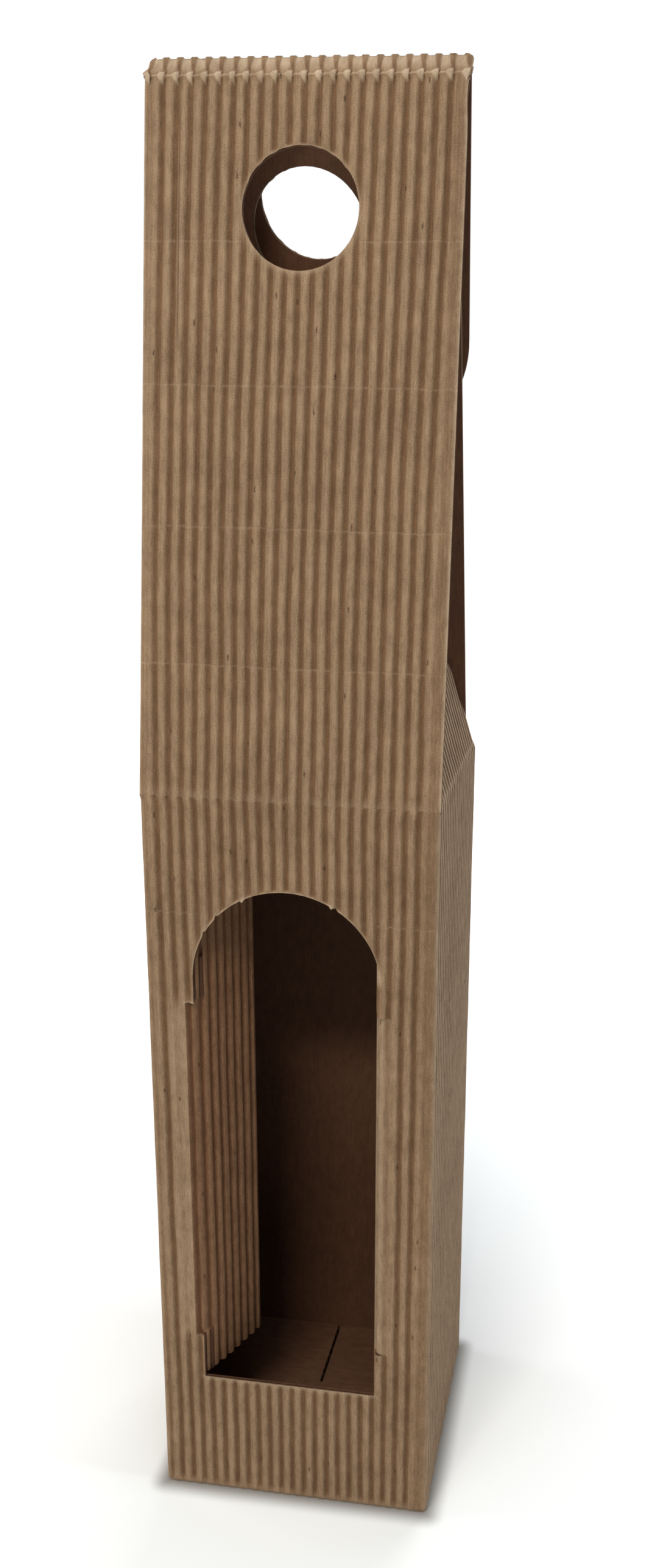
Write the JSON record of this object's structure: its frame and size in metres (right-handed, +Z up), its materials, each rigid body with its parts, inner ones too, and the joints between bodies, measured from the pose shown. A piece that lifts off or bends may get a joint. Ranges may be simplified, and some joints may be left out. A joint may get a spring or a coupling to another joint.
{
  "type": "wine box",
  "caption": "Tall folded carrier of fluted kraft board for one wine bottle, with a window with two leaves, a tapering handle with finger holes and a hook-over closure flap.",
  "frame": {"origin": "middle of the base, on the surface that the box stands on", "axes": "+Z up, -Y to the front with the window, +X to the right seen from the front"},
  "size_m": [0.082, 0.078, 0.4085],
  "materials": {
    "kraft_fluting": "matt fluted kraft paper",
    "kraft_liner": "matt smooth kraft paper"
  },
  "bodies": {
    "body": {"front_panel_fluting": "kraft_fluting", "front_panel_liner": "kraft_liner", "right_panel_fluting": "kraft_fluting", "right_panel_liner": "kraft_liner", "back_panel_fluting": "kraft_fluting", "back_panel_liner": "kraft_liner", "left_panel_fluting": "kraft_fluting", "left_panel_liner": "kraft_liner", "glue_tab_fluting": "kraft_fluting", "glue_tab_liner": "kraft_liner", "rear_floor_flap_fluting": "kraft_fluting", "rear_floor_flap_liner": "kraft_liner", "right_floor_flap_fluting": "kraft_fluting", "right_floor_flap_liner": "kraft_liner", "left_floor_flap_fluting": "kraft_fluting", "left_floor_flap_liner": "kraft_liner", "front_floor_flap_fluting": "kraft_fluting", "front_floor_flap_liner": "kraft_liner"},
    "front_handle": {"front_handle_panel_fluting": "kraft_fluting", "front_handle_panel_liner": "kraft_liner"},
    "ridge": {"ridge_strip_fluting": "kraft_fluting", "ridge_strip_liner": "kraft_liner"},
    "closure": {"closure_flap_fluting": "kraft_fluting", "closure_flap_liner": "kraft_liner"},
    "rear_handle": {"rear_handle_panel_fluting": "kraft_fluting", "rear_handle_panel_liner": "kraft_liner"},
    "right_gusset": {"right_gusset_flap_fluting": "kraft_fluting", "right_gusset_flap_liner": "kraft_liner"},
    "left_gusset": {"left_gusset_flap_fluting": "kraft_fluting", "left_gusset_flap_liner": "kraft_liner"},
    "left_leaf": {"left_window_leaf_fluting": "kraft_fluting", "left_window_leaf_liner": "kraft_liner"},
    "right_leaf": {"right_window_leaf_fluting": "kraft_fluting", "right_window_leaf_liner": "kraft_liner"}
  },
  "joints": [
    {"name": "front_shoulder_crease", "type": "hinge", "parent": "body", "child": "front_handle", "pos_m": [0, -0.039, 0.2234], "axis": [1, 0, 0], "range_deg": [0, 6.6]},
    {"name": "front_ridge_crease", "type": "hinge", "parent": "front_handle", "child": "ridge", "pos_m": [0, -0.0149, 0.404], "axis": [1, 0, 0], "range_deg": [0, 60]},
    {"name": "closure_crease", "type": "hinge", "parent": "ridge", "child": "closure", "pos_m": [0, -0.00986, 0.40856], "axis": [1, 0, 0], "range_deg": [0, 165]},
    {"name": "rear_shoulder_crease", "type": "hinge", "parent": "body", "child": "rear_handle", "pos_m": [0, 0.039, 0.2234], "axis": [1, 0, 0], "range_deg": [-9.1, 0]},
    {"name": "right_gusset_crease", "type": "hinge", "parent": "body", "child": "right_gusset", "pos_m": [0.0394, 0, 0.2234], "axis": [0, 1, 0], "range_deg": [-70, 20]},
    {"name": "left_gusset_crease", "type": "hinge", "parent": "body", "child": "left_gusset", "pos_m": [-0.0394, 0, 0.2234], "axis": [0, 1, 0], "range_deg": [-20, 70]},
    {"name": "left_leaf_crease", "type": "hinge", "parent": "body", "child": "left_leaf", "pos_m": [-0.0285, -0.0374, 0.11], "axis": [0, 0, 1], "range_deg": [-68, 22]},
    {"name": "right_leaf_crease", "type": "hinge", "parent": "body", "child": "right_leaf", "pos_m": [0.0255, -0.0374, 0.11], "axis": [0, 0, 1], "range_deg": [-6, 84]}
  ],
  "couplings": [
    {"joint": "closure_crease", "follows": "front_shoulder_crease", "ratio": 25},
    {"joint": "rear_shoulder_crease", "follows": "front_shoulder_crease", "ratio": -1.375}
  ]
}
